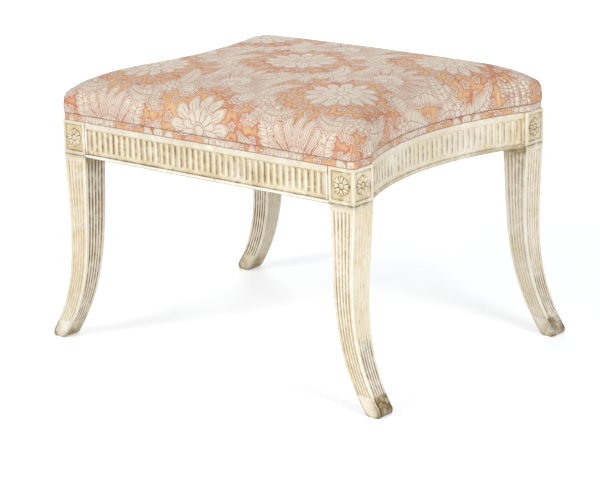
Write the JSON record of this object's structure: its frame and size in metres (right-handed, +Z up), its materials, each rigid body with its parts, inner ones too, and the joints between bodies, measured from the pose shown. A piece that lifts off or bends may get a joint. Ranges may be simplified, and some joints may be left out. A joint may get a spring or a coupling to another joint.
{
  "type": "upholstered stool",
  "caption": "Low stool with a domed stuffed seat, concave ends, fluted rails and sabre legs, for one person to sit on.",
  "frame": {"origin": "on the floor under the middle of the frame", "axes": "+X along the straight rails, +Y from the front rail to the back rail, +Z up"},
  "size_m": [0.7088, 0.516, 0.471],
  "materials": {
    "painted_wood": "cream paint over gesso, rubbed, with umber glaze left in the hollows",
    "painted_carving": "cream paint over carved wood, glaze in the hollows",
    "bare_wood": "sawn beech, unpolished",
    "iron": "blued iron",
    "webbing": "woven jute webbing",
    "hessian": "plain woven jute",
    "stuffing": "curled hair and cotton wadding under calico",
    "damask": "woven damask, silvery cream figure on a mottled apricot ground",
    "lining": "plain woven cotton lining"
  },
  "bodies": {
    "root": {"leg_front_left": "painted_wood", "leg_front_right": "painted_wood", "leg_back_right": "painted_wood", "leg_back_left": "painted_wood", "rail_front": "painted_wood", "rail_right": "painted_wood", "rail_back": "painted_wood", "rail_left": "painted_wood", "rosette_front_left_side": "painted_carving", "rosette_front_left_end": "painted_carving", "rosette_front_right_side": "painted_carving", "rosette_front_right_end": "painted_carving", "rosette_back_right_side": "painted_carving", "rosette_back_right_end": "painted_carving", "rosette_back_left_side": "painted_carving", "rosette_back_left_end": "painted_carving", "corner_brace_front_left": "bare_wood", "corner_brace_front_right": "bare_wood", "corner_brace_back_right": "bare_wood", "corner_brace_back_left": "bare_wood", "brace_screws": "iron", "webbing_long_1": "webbing", "webbing_long_2": "webbing", "webbing_long_3": "webbing", "webbing_long_4": "webbing", "webbing_cross_1": "webbing", "webbing_cross_2": "webbing", "webbing_cross_3": "webbing", "webbing_cross_4": "webbing", "webbing_cross_5": "webbing", "webbing_tacks": "iron", "hessian": "hessian", "first_stuffing": "stuffing", "top_stuffing": "stuffing", "seat_cover": "damask", "cover_band_front": "damask", "cover_band_right": "damask", "cover_band_back": "damask", "cover_band_left": "damask", "dust_cover": "lining", "dust_cover_tacks": "iron"}
  },
  "joints": []
}
